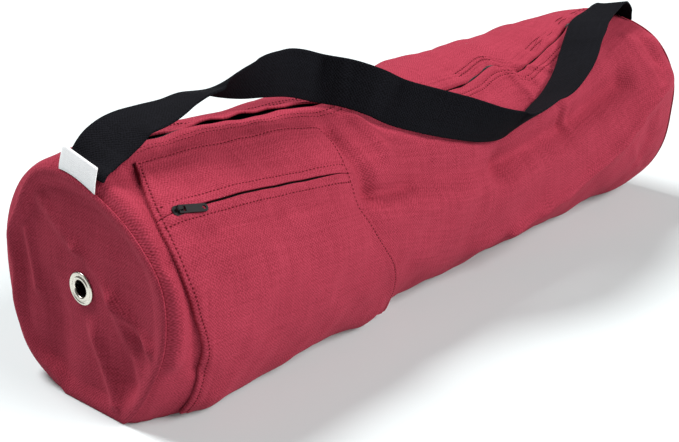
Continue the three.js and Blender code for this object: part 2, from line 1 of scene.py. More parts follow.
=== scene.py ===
# A canvas bag for a rolled yoga mat, lying on a pale studio floor: the camera and the light first,
# then one section for each piece as it is sewn together. Sizes are in millimetres until a mesh is
# made, and angles round the bag are in degrees: 0 is the top, 90 the pocket side, 180 the underside.
import bmesh
import bpy
import numpy as np
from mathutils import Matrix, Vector


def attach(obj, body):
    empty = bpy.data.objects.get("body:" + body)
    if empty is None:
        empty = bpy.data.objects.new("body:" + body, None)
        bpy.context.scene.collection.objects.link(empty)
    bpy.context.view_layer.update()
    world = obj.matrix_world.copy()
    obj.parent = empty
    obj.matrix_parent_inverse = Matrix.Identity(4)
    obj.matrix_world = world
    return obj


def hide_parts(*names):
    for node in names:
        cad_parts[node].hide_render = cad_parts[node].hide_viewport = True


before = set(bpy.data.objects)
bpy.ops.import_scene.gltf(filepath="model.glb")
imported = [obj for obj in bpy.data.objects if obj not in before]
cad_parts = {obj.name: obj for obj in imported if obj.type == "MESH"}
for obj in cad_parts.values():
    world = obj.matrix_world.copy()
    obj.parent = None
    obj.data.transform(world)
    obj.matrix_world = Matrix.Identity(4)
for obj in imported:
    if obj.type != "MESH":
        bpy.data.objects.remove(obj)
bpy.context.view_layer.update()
scene = bpy.context.scene

# Camera: stands near the eyelet end on the pocket side and looks down on the bag.
camera_data = bpy.data.cameras.new("camera")
camera_data.lens = 74.4
camera_data.sensor_width = 36
camera = bpy.data.objects.new("camera", camera_data)
camera.location = (-0.8673, -0.7287, 0.5065)
camera.rotation_euler = Vector((-0.685, -0.6235, 0.3765)).to_track_quat("Z", "Y").to_euler()
scene.collection.objects.link(camera)
scene.camera = camera


# Studio: a white floor, two large soft lights, one in front and a stronger one above the far side,
# and a pale surround. It isn't part of the bag.
def simple_material(name, colour, roughness):
    """A material of one colour, to which the pieces' materials add their detail."""
    material = bpy.data.materials.new(name)
    material.use_nodes = True
    shader = material.node_tree.nodes["Principled BSDF"]
    shader.inputs["Base Color"].default_value = (*colour, 1)
    shader.inputs["Roughness"].default_value = roughness
    return material


def soft_light(name, from_direction, spread_degrees, strength, colour):
    """A far light whose shadows are as soft as its spread."""
    data = bpy.data.lights.new(name, "SUN")
    data.angle = np.radians(spread_degrees)
    data.energy = strength
    data.color = colour
    lamp = bpy.data.objects.new(name, data)
    lamp.rotation_euler = Vector(from_direction).to_track_quat("Z", "Y").to_euler()
    scene.collection.objects.link(lamp)


floor_mesh = bpy.data.meshes.new("floor")
floor_half = 6.0
floor_mesh.from_pydata(
    [(-floor_half, -floor_half, 0), (floor_half, -floor_half, 0),
     (floor_half, floor_half, 0), (-floor_half, floor_half, 0)], [], [(0, 1, 2, 3)])
white_floor = simple_material("white_floor", (0.53, 0.58, 0.585), 0.8)
floor_shader = white_floor.node_tree.nodes["Principled BSDF"]
floor_shader.inputs["Emission Color"].default_value = (1, 1, 1, 1)
floor_shader.inputs["Emission Strength"].default_value = 0.06
floor_mesh.materials.append(white_floor)
floor = bpy.data.objects.new("floor", floor_mesh)
scene.collection.objects.link(floor)
soft_light("front", (0.3, -0.77, 0.57), 36, 4.0, (1, 0.985, 0.975))
soft_light("above", (-0.12, 0.52, 0.845), 24, 4.6, (1, 0.99, 0.99))
surround_light = 0.12  # on the bag; the camera itself sees a plain white surround
world = bpy.data.worlds.new("surround")
world.use_nodes = True
backdrop = world.node_tree.nodes["Background"]
backdrop.inputs["Color"].default_value = (1, 1, 1, 1)
seen = world.node_tree.nodes.new("ShaderNodeLightPath")
glow = world.node_tree.nodes.new("ShaderNodeMapRange")
glow.inputs["To Min"].default_value = surround_light
world.node_tree.links.new(seen.outputs["Is Camera Ray"], glow.inputs["Value"])
world.node_tree.links.new(glow.outputs["Result"], backdrop.inputs["Strength"])
scene.world = world
scene.view_settings.view_transform = "Standard"

# Body: one heavy canvas rectangle rolled to a tube. Its long edges are hemmed on both sides of the
# main zip, and it is sewn to a round panel at each end. It slumps on its mat and lies flat below.
bag_length = 660
end_radius = 92.5
axis_height = 84.5
canvas_thickness = 1.6
bag_shift = np.array([0.0, 7.86, 0.0])  # brings the middle of the whole bag over the origin
seam_clearance = 0.6


def table(columns, rows):
    """A table's columns by name."""
    return dict(zip(columns.split(), np.array(rows, float).T))


def read(rows, column, place):
    """Smooth value of a column at places along the table's first column."""
    key, value = rows[next(iter(rows))], rows[column]
    last = len(key) - 1
    place = np.clip(place, key[0], key[-1])
    i = np.clip(np.searchsorted(key[1:], place), 0, last - 1)
    k = np.arange(last + 1)
    low, high = np.maximum(k - 1, 0), np.minimum(k + 1, last)
    slope = (value[high] - value[low]) / (key[high] - key[low])
    span = key[i + 1] - key[i]
    t = (place - key[i]) / span
    rest = 1 - t
    return (value[i] * rest**2 * (1 + 2 * t) + value[i + 1] * t**2 * (1 + 2 * rest)
            + slope[i] * span * t * rest**2 - slope[i + 1] * span * t**2 * rest)


def smooth(t):
    """Eased step from 0 to 1."""
    t = np.clip(t, 0, 1)
    return t * t * (3 - 2 * t)


sections = table("at girth turn", [
    (0.0, 1.0, 0), (0.018, 1.045, 0), (0.06, 1.075, 0), (0.2, 1.06, 5), (0.36, 1.035, 15),
    (0.53, 1.022, 30), (0.7, 1.015, 25), (0.86, 1.012, 14), (0.965, 1.015, 5), (0.985, 1.005, 3),
    (1.0, 0.985, 2),
])
end_outlines = table("angle near far", [
    (-180, 0.98, 0.99), (-152, 1.01, 1.0), (-130, 1.05, 1.0), (-108, 0.97, 0.98), (-85, 0.96, 1.0),
    (-58, 1.0, 1.01), (-28, 1.045, 0.99), (-5, 1.03, 0.98), (20, 0.97, 1.0), (45, 1.0, 1.06),
    (68, 1.05, 1.04), (90, 1.0, 0.97), (115, 0.94, 0.98), (135, 0.96, 1.0), (155, 1.02, 1.0),
    (180, 0.98, 0.99),
])
outline_fade = 0.12
# Folds and hollows, each along a bowed line; rise and reach are shares of the end radius.
folds = table("from_at from_angle to_at to_angle bow rise reach", [
    (0.978, 66, 0.54, 122, 9, 0.06, 0.15),     # long crest down the pocket side
    (0.955, 71, 0.6, 118, 6.5, 0.055, 0.045),
    (0.88, 58, 0.58, 76, 3.5, -0.16, 0.15),    # valley above it, down to the pocket
    (0.56, 77, 0.31, 66, -3.5, -0.075, 0.15),
    (0.38, 26, 0.76, 26, 4, -0.06, 0.34),      # hollow that the strap lies over
    (0.319, 30, 0.327, 64, 2, -0.085, 0.085),  # hollow and ridge beside the pocket
    (0.335, 66, 0.4, 69, 0, -0.05, 0.06),
    (0.367, 16, 0.376, 48, 0, 0.055, 0.09),
    (0.33, 76, 0.5, 84, 0, 0.03, 0.12),
    (0.717, 57, 0.729, 71, 0, -0.035, 0.035),  # puckers below the strap's bend
    (0.735, 60, 0.742, 74, 0, 0.03, 0.03),
    (0.672, 28, 0.672, 52, 0, 0.04, 0.035),    # creases that run from the pucker of the zip
    (0.69, 27, 0.7, 44, 0, -0.025, 0.03),
    (0.705, 27, 0.75, 36, 0, 0.03, 0.04),
    (0.011, 14, 0.011, 104, 0, 0.05, 0.07),    # roll of the near seam and the groove by the pocket
    (0.046, 16, 0.014, 60, 0, -0.035, 0.05),
    (0.014, 60, 0.044, 112, 0, -0.035, 0.05),
    (0.07, 136, 0.16, 142, 0, 0.03, 0.26),
    (0.08, 142, 0.34, 144, 0, 0.035, 0.4),
    (0.345, 140, 0.375, 146, 0, 0.04, 0.2),
    (0.936, 36, 0.94, 58, 0, 0.03, 0.06),      # gathers at the far seam
    (0.961, 40, 0.967, 56, 0, -0.035, 0.05),
    (0.92, 36, 0.985, 44, 0, 0.03, 0.1),
    (0.9, 8, 0.96, -8, 0, -0.025, 0.2),
    (0.889, 101, 0.942, 123, 0, 0.02, 0.05),
    (0.936, 98, 0.92, 112, 0, -0.03, 0.09),
    (0.3, -62, 0.7, -78, -6, -0.04, 0.26),     # back of the bag
    (0.62, -110, 0.93, -74, 0, 0.04, 0.14),
    (0.12, -40, 0.3, -70, 6, -0.04, 0.14),
    (0.2, -100, 0.45, -122, 4, 0.04, 0.12),
    (0.75, -40, 0.95, -66, -4, -0.045, 0.13),
    (0.45, -95, 0.7, -112, 5, -0.035, 0.1),
    (0.03, -52, 0.12, -60, 0, -0.03, 0.07),
])
fold_steps = 8
fold_fade = 0.008


def arc(degrees):
    """Length of an angle on the circle of the end radius."""
    return np.radians(degrees) * end_radius


def line_distance(px, py, ax, ay, bx, by):
    """Distance of places p from the straight line between a and b."""
    dx, dy = bx - ax, by - ay
    t = np.clip(((px - ax) * dx + (py - ay) * dy) / (dx * dx + dy * dy), 0, 1)
    return np.hypot(px - ax - dx * t, py - ay - dy * t)


def fold_height(rows, at, angle):
    """Height that a table of folds adds at places of the tube."""
    height = np.zeros(np.broadcast(at, angle).shape)
    for k in range(len(rows["rise"])):
        t = np.linspace(0, 1, fold_steps + 1)
        line_x = (rows["from_at"][k] * (1 - t) + rows["to_at"][k] * t - 0.5) * bag_length
        bowed = rows["from_angle"][k] * (1 - t) + rows["to_angle"][k] * t
        line_y = arc(bowed + rows["bow"][k] * np.sin(np.pi * t))
        nearest = np.full(height.shape, 1e9)
        for i in range(fold_steps):
            away = line_distance((at - 0.5) * bag_length, arc(angle),
                                 line_x[i], line_y[i], line_x[i + 1], line_y[i + 1])
            nearest = np.minimum(nearest, away)
        height += rows["rise"][k] * end_radius * np.exp(-(nearest / (rows["reach"][k] * end_radius))**2)
    return height * smooth(np.minimum(at, 1 - at) / fold_fade)


slack_waves = (95, 80, 66, 54, 45, 38, 32, 27, 23, 20)
slack_share = 0.0065
slack_fade = 0.05


def slack(at, angle):
    """Small uneven waves of cloth that isn't stretched anywhere."""
    chance = np.random.default_rng(11)
    height = np.zeros(np.broadcast(at, angle).shape)
    for wavelength in slack_waves:
        heading = chance.uniform(-1.1, 1.1)
        phase = chance.uniform(0, 2 * np.pi)
        place = (at * bag_length * np.cos(heading) + arc(angle) * np.sin(heading)) / wavelength
        height += slack_share * wavelength * np.sin(2 * np.pi * place + phase)
    return height * smooth(np.minimum(at, 1 - at) / slack_fade)


near_pinch = 7
near_pinch_width = 5


def pinch(at, turned):
    """How far the near seam draws in behind the swollen tube, at the back and below."""
    where = smooth((-20 - turned) / 30) * smooth((turned + 180) / 25)
    gathers = 1 + 0.25 * np.sin(np.radians(turned * 7)) + 0.2 * np.sin(np.radians(turned * 11))
    seam = (1 - np.clip(at * bag_length / near_pinch_width, 0, 1))**2
    return near_pinch * where * gathers * seam


def skin(at, angle, lift):
    """Points at a height over the tube's outer skin; the floor presses the underside flat."""
    at, angle, lift = np.broadcast_arrays(at, angle, lift)
    turned = angle - 360 * np.round(angle / 360)
    off_floor = np.maximum(0, -lift)
    lift = lift - pinch(at, turned)
    near = read(end_outlines, "near", turned) - 1
    far = read(end_outlines, "far", turned) - 1
    outline = 1 + near * (1 - smooth(at / outline_fade)) + far * (1 - smooth((1 - at) / outline_fade))
    radius = end_radius * read(sections, "girth", at) * outline + lift
    radius = radius + fold_height(folds, at, turned) + slack(at, angle)
    height = axis_height + radius * np.cos(np.radians(angle))
    end_x = bag_length / 2 - seam_clearance
    return np.stack([np.clip((at - 0.5) * bag_length, -end_x, end_x),
                     -radius * np.sin(np.radians(angle)),
                     np.maximum(height, off_floor)], axis=-1)


def spread(count, length, edges=(0.3, 0.8, 1.6, 2.4, 3.2, 4.2)):
    """Shares from 0 to 1 along a length, even in the middle and closer at both edges."""
    near = np.array(edges) / length
    middle = np.linspace(near[-1], 1 - near[-1], count)[1:-1]
    return np.concatenate([[0], near, middle, 1 - near[::-1], [1]])


def sheet_mesh(name, outer, inner, uv, around=False, tip=False):
    """A closed cloth between two grids of points in millimetres, with a UV map in millimetres."""
    rows, columns = outer.shape[:2]
    grid = np.arange(rows * columns).reshape(rows, columns)
    if tip:
        grid[0, :] = grid[0, 0]
    if around:
        grid = np.concatenate([grid, grid[:, :1]], axis=1)
    under = grid + rows * columns
    faces = []

    def quads(*sides):
        faces.extend(zip(*(side.ravel().tolist() for side in sides)))

    quads(grid[:-1, :-1], grid[:-1, 1:], grid[1:, 1:], grid[1:, :-1])
    quads(under[:-1, 1:], under[:-1, :-1], under[1:, :-1], under[1:, 1:])
    if not around:
        quads(grid[1:, 0], under[1:, 0], under[:-1, 0], grid[:-1, 0])
        quads(grid[:-1, -1], under[:-1, -1], under[1:, -1], grid[1:, -1])
    if not tip:
        quads(under[0, :-1], under[0, 1:], grid[0, 1:], grid[0, :-1])
    quads(grid[-1, :-1], grid[-1, 1:], under[-1, 1:], under[-1, :-1])
    faces = [tuple(dict.fromkeys(face)) for face in faces]
    points = np.concatenate([outer.reshape(-1, 3), inner.reshape(-1, 3)])
    corners = np.array([(f[0], f[i], f[i + 1]) for f in faces for i in range(1, len(f) - 1)])
    first, second, third = points[corners.T]
    if np.sum(first * np.cross(second, third)) < 0:
        faces = [face[::-1] for face in faces]
    mesh = bpy.data.meshes.new(name)
    mesh.from_pydata(((points + bag_shift) * 0.001).tolist(), [], faces)
    flat = np.concatenate([uv.reshape(-1, 2)] * 2)
    layer = mesh.uv_layers.new(name="cloth")
    corner = np.zeros(len(mesh.loops), int)
    mesh.loops.foreach_get("vertex_index", corner)
    layer.data.foreach_set("uv", flat[corner].ravel().astype(np.float32))
    mesh.polygons.foreach_set("use_smooth", [True] * len(mesh.polygons))
    mesh.update()
    if tip:
        drop_loose(mesh)
    return mesh


def drop_loose(mesh):
    """Drops the points that no face uses."""
    work = bmesh.new()
    work.from_mesh(mesh)
    bmesh.ops.delete(work, geom=[v for v in work.verts if not v.link_faces], context="VERTS")
    work.to_mesh(mesh)
    work.free()


def piece(name, mesh, material, slot, *nodes, body="root"):
    """A finished piece that rides on a body and stands for the CAD nodes named."""
    mesh.materials.append(material)
    made = bpy.data.objects.new(name, mesh)
    scene.collection.objects.link(made)
    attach(made, body)
    if nodes:
        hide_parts(*nodes)


def node_group(name, inputs, outputs):
    """An empty shader node group with float, vector and colour sockets by name."""
    group = bpy.data.node_groups.new(name, "ShaderNodeTree")
    for label, kind, value in inputs:
        socket = group.interface.new_socket(label, in_out="INPUT", socket_type="NodeSocket" + kind)
        if value is not None:
            socket.default_value = value
    for label, kind in outputs:
        group.interface.new_socket(label, in_out="OUTPUT", socket_type="NodeSocket" + kind)
    return group, group.nodes.new("NodeGroupInput"), group.nodes.new("NodeGroupOutput")


def maths(tree, operation, *values):
    """A Math node on sockets or numbers; gives its output socket."""
    node = tree.nodes.new("ShaderNodeMath")
    node.operation = operation
    for i, value in enumerate(values):
        if isinstance(value, bpy.types.NodeSocket):
            tree.links.new(value, node.inputs[i])
        else:
            node.inputs[i].default_value = value
    return node.outputs[0]


# Canvas weave: plain-woven yarns of uneven thickness that lie over and under each other. All the
# cloth materials share it, on their UV map in millimetres.
weave, entry, leave = node_group(
    "canvas_weave",
    [("Vector", "Vector", None), ("Pitch", "Float", 1.5), ("Slub", "Float", 0.4)],
    [("Height", "Float"), ("Tone", "Float")])


def scaled_noise(tree, vector, scale, detail, size):
    """A noise over a vector that is first scaled along each axis."""
    stretch = tree.nodes.new("ShaderNodeVectorMath")
    stretch.operation = "MULTIPLY"
    tree.links.new(vector, stretch.inputs[0])
    stretch.inputs[1].default_value = scale
    noise = tree.nodes.new("ShaderNodeTexNoise")
    noise.inputs["Scale"].default_value = size
    noise.inputs["Detail"].default_value = detail
    noise.inputs["Roughness"].default_value = 0.6
    tree.links.new(stretch.outputs[0], noise.inputs["Vector"])
    return noise


wobble = scaled_noise(weave, entry.outputs["Vector"], (1, 1, 1), 3, 0.12)
shaken = weave.nodes.new("ShaderNodeVectorMath")
shaken.operation = "MULTIPLY_ADD"
weave.links.new(wobble.outputs["Color"], shaken.inputs[0])
shaken.inputs[1].default_value = (5, 5, 0)
weave.links.new(entry.outputs["Vector"], shaken.inputs[2])
split = weave.nodes.new("ShaderNodeSeparateXYZ")
weave.links.new(shaken.outputs[0], split.inputs[0])
turns = maths(weave, "DIVIDE", np.pi, entry.outputs["Pitch"])
warp = maths(weave, "COSINE", maths(weave, "MULTIPLY", split.outputs["X"], turns))
weft = maths(weave, "COSINE", maths(weave, "MULTIPLY", split.outputs["Y"], turns))
yarns = maths(weave, "MULTIPLY", warp, weft)
warp_slubs = scaled_noise(weave, entry.outputs["Vector"], (1, 0.05, 1), 2, 0.5).outputs["Fac"]
weft_slubs = scaled_noise(weave, entry.outputs["Vector"], (0.05, 1, 1), 2, 0.5).outputs["Fac"]
fluff = scaled_noise(weave, entry.outputs["Vector"], (1, 1, 1), 3, 0.75).outputs["Fac"]
slubs = maths(weave, "ADD", warp_slubs, weft_slubs)
uneven = maths(weave, "ADD", slubs, maths(weave, "MULTIPLY", fluff, 1.6))
rough = maths(weave, "MULTIPLY", maths(weave, "SUBTRACT", uneven, 1.8), entry.outputs["Slub"])
height = maths(weave, "MULTIPLY_ADD", yarns, 0.45, maths(weave, "MULTIPLY_ADD", rough, 1.2, 0.5))
weave.links.new(height, leave.inputs["Height"])
tone = maths(weave, "MULTIPLY_ADD", yarns, 0.26, maths(weave, "ADD", rough, 0.5))
weave.links.new(tone, leave.inputs["Tone"])


def fabric_material(name, deep, light, roughness, sheen, pitch, relief, patch=0.22, gloss=0.12):
    """Woven cloth: yarn tone, uneven dye and a raised weave, on the piece's own UV map."""
    material = bpy.data.materials.new(name)
    material.use_nodes = True
    tree = material.node_tree
    shader = tree.nodes["Principled BSDF"]
    shader.inputs["Roughness"].default_value = roughness
    shader.inputs["Sheen Weight"].default_value = sheen
    shader.inputs["Sheen Roughness"].default_value = 0.45
    shader.inputs["Sheen Tint"].default_value = (*light, 1)
    shader.inputs["Specular IOR Level"].default_value = gloss
    uv = tree.nodes.new("ShaderNodeUVMap")
    uv.uv_map = "cloth"
    cloth = tree.nodes.new("ShaderNodeGroup")
    cloth.node_tree = weave
    cloth.inputs["Pitch"].default_value = pitch
    tree.links.new(uv.outputs["UV"], cloth.inputs["Vector"])
    dye = tree.nodes.new("ShaderNodeTexNoise")
    dye.inputs["Scale"].default_value = 0.018
    dye.inputs["Detail"].default_value = 5
    dye.inputs["Roughness"].default_value = 0.6
    tree.links.new(uv.outputs["UV"], dye.inputs["Vector"])
    tone = maths(tree, "MULTIPLY_ADD", dye.outputs["Fac"], patch, cloth.outputs["Tone"])
    tone = maths(tree, "SUBTRACT", tone, patch / 2)
    ramp = tree.nodes.new("ShaderNodeValToRGB")
    ramp.color_ramp.elements[0].position = 0.05
    ramp.color_ramp.elements[0].color = (*deep, 1)
    ramp.color_ramp.elements[1].position = 0.95
    ramp.color_ramp.elements[1].color = (*light, 1)
    tree.links.new(tone, ramp.inputs["Fac"])
    tree.links.new(ramp.outputs["Color"], shader.inputs["Base Color"])
    bump = tree.nodes.new("ShaderNodeBump")
    bump.inputs["Strength"].default_value = relief
    bump.inputs["Distance"].default_value = 0.0006
    tree.links.new(cloth.outputs["Height"], bump.inputs["Height"])
    tree.links.new(bump.outputs["Normal"], shader.inputs["Normal"])
    return material


red_deep = (0.15, 0.0085, 0.018)
red_light = (0.4, 0.046, 0.08)
canvas = fabric_material("berry_canvas", red_deep, red_light, 0.92, 0.25, 1.2, 0.5)


def strand_material(name, deep, light, roughness, gloss):
    """Spun thread or moulded coil: its tone and its roughness vary along it."""
    material = simple_material(name, light, roughness)
    tree = material.node_tree
    shader = tree.nodes["Principled BSDF"]
    shader.inputs["Specular IOR Level"].default_value = gloss
    where = tree.nodes.new("ShaderNodeTexCoord")
    uneven = scaled_noise(tree, where.outputs["Object"], (1, 1, 1), 3, 900).outputs["Fac"]
    ramp = tree.nodes.new("ShaderNodeValToRGB")
    ramp.color_ramp.elements[0].color = (*deep, 1)
    ramp.color_ramp.elements[1].color = (*light, 1)
    tree.links.new(uneven, ramp.inputs["Fac"])
    tree.links.new(ramp.outputs["Color"], shader.inputs["Base Color"])
    tree.links.new(maths(tree, "MULTIPLY_ADD", uneven, 0.3, roughness - 0.15), shader.inputs["Roughness"])
    return material


thread = strand_material("berry_thread", (0.05, 0.002, 0.005), (0.15, 0.008, 0.016), 0.7, 0.08)

# Beads: small rounded bodies set along lines on the bag, used for stitches and for zip teeth. Each
# is turned along its line and away from the cloth, and varies a little in size.
beads = bpy.data.node_groups.new("beads_on_lines", "GeometryNodeTree")
for label, kind in (
        ("Lines", "Geometry"), ("Spacing", "Float"), ("Size", "Vector"), ("Material", "Material")):
    beads.interface.new_socket(label, in_out="INPUT", socket_type="NodeSocket" + kind)
beads.interface.new_socket("Beads", in_out="OUTPUT", socket_type="NodeSocketGeometry")
bead_nodes = {}
for label, kind in (
        ("entry", "NodeGroupInput"), ("curve", "GeometryNodeMeshToCurve"),
        ("even", "GeometryNodeResampleCurve"),
        ("tangent", "GeometryNodeInputTangent"), ("out", "GeometryNodeInputNamedAttribute"),
        ("aim", "FunctionNodeAlignRotationToVector"), ("turn", "FunctionNodeAlignRotationToVector"),
        ("ball", "GeometryNodeMeshIcoSphere"), ("shape", "GeometryNodeTransform"),
        ("vary", "FunctionNodeRandomValue"), ("put", "GeometryNodeInstanceOnPoints"),
        ("real", "GeometryNodeRealizeInstances"), ("paint", "GeometryNodeSetMaterial"),
        ("leave", "NodeGroupOutput")):
    bead_nodes[label] = beads.nodes.new(kind)
bead_nodes["even"].mode = "LENGTH"
bead_nodes["out"].data_type = "FLOAT_VECTOR"
bead_nodes["out"].inputs["Name"].default_value = "out"
bead_nodes["aim"].axis = "X"
bead_nodes["turn"].axis = "Z"
bead_nodes["turn"].pivot_axis = "X"
bead_nodes["ball"].inputs["Radius"].default_value = 0.5
bead_nodes["ball"].inputs["Subdivisions"].default_value = 2
bead_nodes["vary"].data_type = "FLOAT"
bead_nodes["vary"].inputs[2].default_value = 0.85
bead_nodes["vary"].inputs[3].default_value = 1.05
bead_nodes["vary"].inputs["Seed"].default_value = 4
for a, out_name, b, in_name in (
        ("entry", "Lines", "curve", "Mesh"), ("curve", "Curve", "even", "Curve"),
        ("entry", "Spacing", "even", "Length"), ("tangent", "Tangent", "aim", "Vector"),
        ("aim", "Rotation", "turn", "Rotation"), ("out", "Attribute", "turn", "Vector"),
        ("ball", "Mesh", "shape", "Geometry"), ("entry", "Size", "shape", "Scale"),
        ("even", "Curve", "put", "Points"), ("shape", "Geometry", "put", "Instance"),
        ("turn", "Rotation", "put", "Rotation"), ("put", "Instances", "real", "Geometry"),
        ("real", "Geometry", "paint", "Geometry"), ("entry", "Material", "paint", "Material"),
        ("paint", "Geometry", "leave", "Beads")):
    beads.links.new(bead_nodes[a].outputs[out_name], bead_nodes[b].inputs[in_name])
beads.links.new(bead_nodes["vary"].outputs[1], bead_nodes["put"].inputs["Scale"])


def outward(angle):
    """Directions straight out of the tube at angles."""
    return np.stack([np.zeros_like(angle), -np.sin(np.radians(angle)), np.cos(np.radians(angle))], axis=-1)


def beaded(name, lines, spacing, size, material, slot):
    """Beads of a size in millimetres along lines, each given by its points and outward directions."""
    points = np.concatenate([line for line, _ in lines])
    outs = np.concatenate([out for _, out in lines])
    firsts = np.cumsum([0] + [len(line) for line, _ in lines[:-1]])
    edges = [(first + i, first + i + 1)
             for first, (line, _) in zip(firsts, lines) for i in range(len(line) - 1)]
    guide = bpy.data.meshes.new("guide")
    guide.from_pydata(((points + bag_shift) * 0.001).tolist(), edges, [])
    direction = guide.attributes.new("out", "FLOAT_VECTOR", "POINT")
    direction.data.foreach_set("vector", outs.astype(np.float32).ravel())
    holder = bpy.data.objects.new("guide", guide)
    scene.collection.objects.link(holder)
    modifier = holder.modifiers.new("beads", "NODES")
    modifier.node_group = beads
    values = {"Spacing": spacing * 0.001, "Size": [side * 0.001 for side in size], "Material": material}
    for socket in beads.interface.items_tree:
        if socket.in_out == "INPUT" and socket.name in values:
            modifier[socket.identifier] = values[socket.name]
    mesh = bpy.data.meshes.new_from_object(holder.evaluated_get(bpy.context.evaluated_depsgraph_get()))
    bpy.data.objects.remove(holder)
    mesh.name = name
    mesh.materials.clear()
    mesh.polygons.foreach_set("use_smooth", [True] * len(mesh.polygons))
    piece(name, mesh, material, slot)


stitch_spacing = 3.2
stitch_size = (2.0, 1.25, 0.7)
stitch_depth = 0.45
stitch_reach = 1.1
stitch_sink = 0.4
main_zip_angle = -4
seam_roll = 5
seam_roll_depth = 1.8
hem_height = 0.9
hem_width = 14.5
hem_step = 3
hem_inside = 15
edge_width = 1.8
curl_width = 10
wave_reach = 20
inner_depth = 0.6
zip_rows = (8.5, 13)
zip_wander = table("at by", [
    (0.0, 0), (0.6, 0), (0.64, -2), (0.665, -1), (0.678, 5), (0.7, 9), (0.724, 8), (0.779, 6),
    (0.83, 5), (0.88, 1), (0.94, 0), (1.0, 0),
])


def zip_line(at):
    """Angle of the main zip's middle along the bag."""
    return main_zip_angle + read(sections, "turn", at) + read(zip_wander, "by", at)


def zip_open(at):
    """Share by which the main zip's canvas stands open: near the pocket it does, beyond it doesn't."""
    return (1 - smooth((at - 0.37) / 0.12)) * smooth((at - 0.01) / 0.03)


def zip_gap(at):
    """Half the gap between the two hemmed edges."""
    return 0.45 + (0.4 + 1.5 * smooth((0.32 - at) / 0.22)) * zip_open(at)


def placket_lift(at, from_zip, behind):
    """Height of the hemmed canvas beside the main zip; the edge behind curls up where it is open."""
    hem = hem_height * (1 - smooth((from_zip - hem_width) / hem_step))
    curl = 2.2 + 0.5 * np.sin(at * 75) + 0.3 * np.sin(at * 131 + 2)
    return hem + behind * zip_open(at) * curl * (1 - smooth(from_zip / curl_width))


def stitch_dip(distance, rows):
    """Depth that rows of stitches pull into the cloth at a distance from its edge."""
    return sum(-stitch_depth * np.exp(-((distance - row) / stitch_reach)**2) for row in rows)


along = spread(220, bag_length)[:, None]
row_lines = [row + step for row in zip_rows for step in (-1.4, -0.6, 0, 0.6, 1.4)]
around = spread(168, arc(360), (0.3, 0.8, 1.6, 3.2, 5, *row_lines, 17))[None, :]
half_gap = np.degrees(zip_gap(along) / end_radius)
from_zip = np.minimum(around, 1 - around) * arc(360)
from_seam = np.minimum(along, 1 - along) * bag_length
behind = around > 0.5
edge_waves = np.degrees((0.8 * np.sin(along * 92) + 0.5 * np.sin(along * 151 + 1)) / end_radius)
wave = edge_waves * zip_open(along) * behind * (1 - smooth(from_zip / wave_reach))
roll = -seam_roll_depth * (1 - np.clip(from_seam / seam_roll, 0, 1))**2
edge_fold = 0.6 + 0.9 * (1 - zip_open(along))
edge = -edge_fold * (1 - np.clip(from_zip / edge_width, 0, 1))**2
body_angle = zip_line(along) + half_gap + (360 - 2 * half_gap) * around + wave
body_uv = np.stack(np.broadcast_arrays((along - 0.5) * bag_length, around * arc(360)), axis=-1)
rise = placket_lift(along, from_zip, behind)
outer = skin(along, body_angle, rise + roll + edge + stitch_dip(from_zip, zip_rows))
under_hem = (rise + edge + inner_depth) * (from_zip < hem_inside)
inner = skin(along, body_angle, -canvas_thickness + roll - inner_depth + under_hem)
piece("bag_body", sheet_mesh("bag_body", outer, inner, body_uv), canvas, "canvas", "body")
at = np.linspace(0.03, 0.975, 240)
lines = []
for row in zip_rows:
    for way in (1, -1):
        angle = zip_line(at) + way * np.degrees((zip_gap(at) + row) / end_radius)
        lines.append((skin(at, angle, placket_lift(at, row, way < 0) - stitch_sink), outward(angle)))
beaded("main_zip_stitches", lines, stitch_spacing, stitch_size, thread, "canvas")

# End panels: round canvas discs sewn in behind the tube's edge, the near one dented and creased
# round its vent.
panel_recess = 4
rim_width = 3.6
rim_share = 1 - rim_width / end_radius
rim_round_depth = 0.9
hole_clearance = 0.9
crease_clearance = 3
eyelet_bore = 13
eyelet_flange = 25
eyelet_across = -1
eyelet_height = 92
# y and z are shares of the end radius from the eyelet; the far panel has the mirrored creases.
panel_creases = table("from_y from_z to_y to_z rise reach", [
    (0.42, 0.62, 0.02, 0.3, 0.03, 0.07),
    (0.02, 0.3, -0.78, -0.25, 0.05, 0.06),
    (-0.38, 0.02, -0.62, -0.5, 0.035, 0.07),
    (-0.1, -0.22, -0.36, -0.86, 0.05, 0.07),
    (0.62, 0.3, 0.55, -0.15, 0.035, 0.06),
    (0.3, -0.1, 0.35, -0.7, -0.035, 0.16),
    (-0.62, -0.2, -0.5, -0.62, -0.055, 0.12),
    (0.1, 0.75, -0.5, 0.45, -0.025, 0.12),
])


def panel_points(side, out, turn, depth, hole):
    """Points of an end panel: side is -1 at the near end, out runs from the middle to the seam."""
    angle = turn * 360
    rim = skin(0.0 if side < 0 else 1.0, angle, 0)
    start_y = eyelet_across - hole * np.sin(np.radians(angle))
    start_z = eyelet_height + hole * np.cos(np.radians(angle))
    y = start_y + (rim[..., 1] - start_y) * out
    z = start_z + (rim[..., 2] - start_z) * out
    away = np.hypot(y - eyelet_across, z - eyelet_height)
    inset = rim_share - out
    from_flange = away - eyelet_flange / 2 - crease_clearance
    free = smooth(from_flange / (0.25 * end_radius)) * smooth(inset / 0.12)
    sink = panel_recess * smooth(inset / 0.16)
    for k in range(len(panel_creases["rise"])):
        row = {name: values[k] * end_radius for name, values in panel_creases.items()}
        off = line_distance(y, z - eyelet_height, -side * row["from_y"], row["from_z"],
                            -side * row["to_y"], row["to_z"])
        sink = sink - free * row["rise"] * np.exp(-(off / row["reach"])**2)
    ripple = 0.5 * np.sin(y / 9 + z / 23) + 0.4 * np.sin(z / 11 - y / 17)
    x = side * (bag_length / 2 + canvas_thickness - depth - sink + free * ripple)
    return np.stack([x, y, z], axis=-1)


